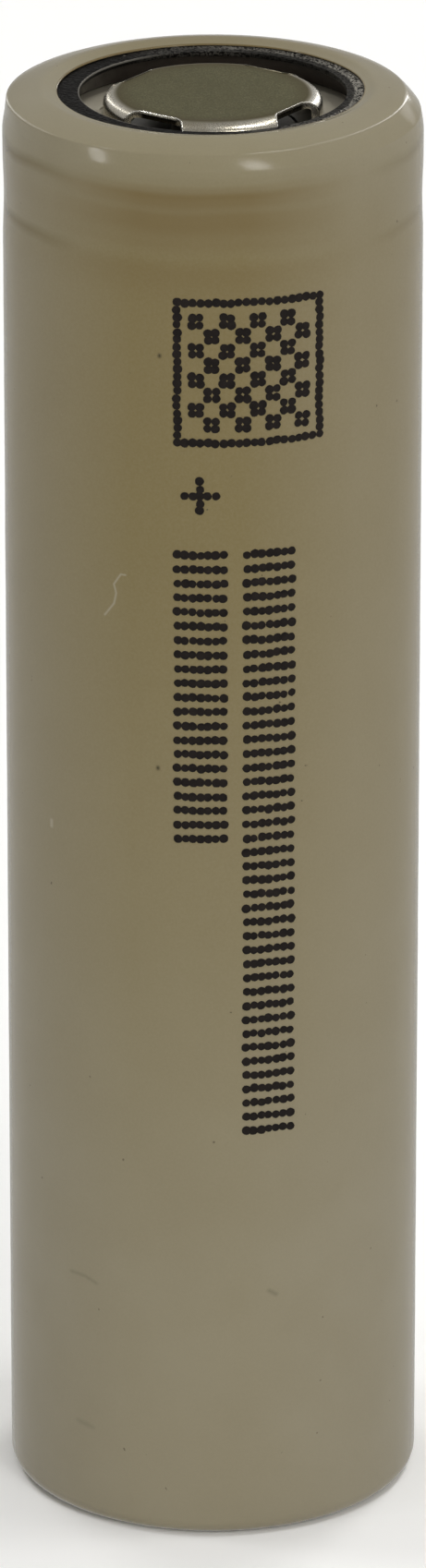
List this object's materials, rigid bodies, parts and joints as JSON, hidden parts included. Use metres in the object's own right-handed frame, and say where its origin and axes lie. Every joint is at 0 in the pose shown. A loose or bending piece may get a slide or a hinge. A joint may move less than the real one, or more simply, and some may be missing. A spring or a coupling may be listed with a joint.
{
  "type": "cylindrical battery cell",
  "caption": "Upright cylindrical lithium-ion cell in a satin shrink sleeve, with a legged flat positive cap, vent stack, wound roll and steel can.",
  "frame": {"origin": "centre of the cell's base, on the plane of the sleeve's lower lip", "axes": "+Z along the cell's axis towards the positive cap; -Y is the side with the printed marks, towards the picture's camera"},
  "size_m": [0.0184, 0.0184, 0.0652],
  "materials": {
    "sleeve_film": "satin heat-shrink film",
    "black_fibre": "embossed, semi-matt",
    "plated_can": "nickel-plated, drawn",
    "gasket_plastic": "moulded",
    "plated_cap": "nickel-plated, pressed",
    "vent_aluminium": "pressed sheet",
    "insulator_plastic": "punched sheet",
    "cathode_coating": "calendered coating on aluminium foil",
    "anode_coating": "calendered coating on copper foil",
    "separator_film": "porous film",
    "polyimide_tape": "smooth tape",
    "tab_aluminium": "rolled strip",
    "tab_nickel": "rolled nickel strip"
  },
  "bodies": {
    "cell": {"sleeve": "sleeve_film", "top_insulator_ring": "black_fibre", "can": "plated_can", "gasket": "gasket_plastic", "positive_cap": "plated_cap", "vent_disc": "vent_aluminium", "cid_insulator": "insulator_plastic", "cid_plate": "vent_aluminium", "upper_insulator": "insulator_plastic", "lower_insulator": "insulator_plastic", "cathode_sheet": "cathode_coating", "inner_separator": "separator_film", "anode_sheet": "anode_coating", "outer_separator": "separator_film", "roll_end_tape": "polyimide_tape", "positive_tab": "tab_aluminium", "positive_tab_tape": "polyimide_tape", "negative_tab": "tab_nickel", "negative_tab_tape": "polyimide_tape"},
    "vent_centre": {"vent_button": "vent_aluminium"}
  },
  "joints": [
    {"name": "vent_lift", "type": "slide", "parent": "cell", "child": "vent_centre", "axis": [0, 0, 1], "range_m": [0, 0.0006]}
  ]
}
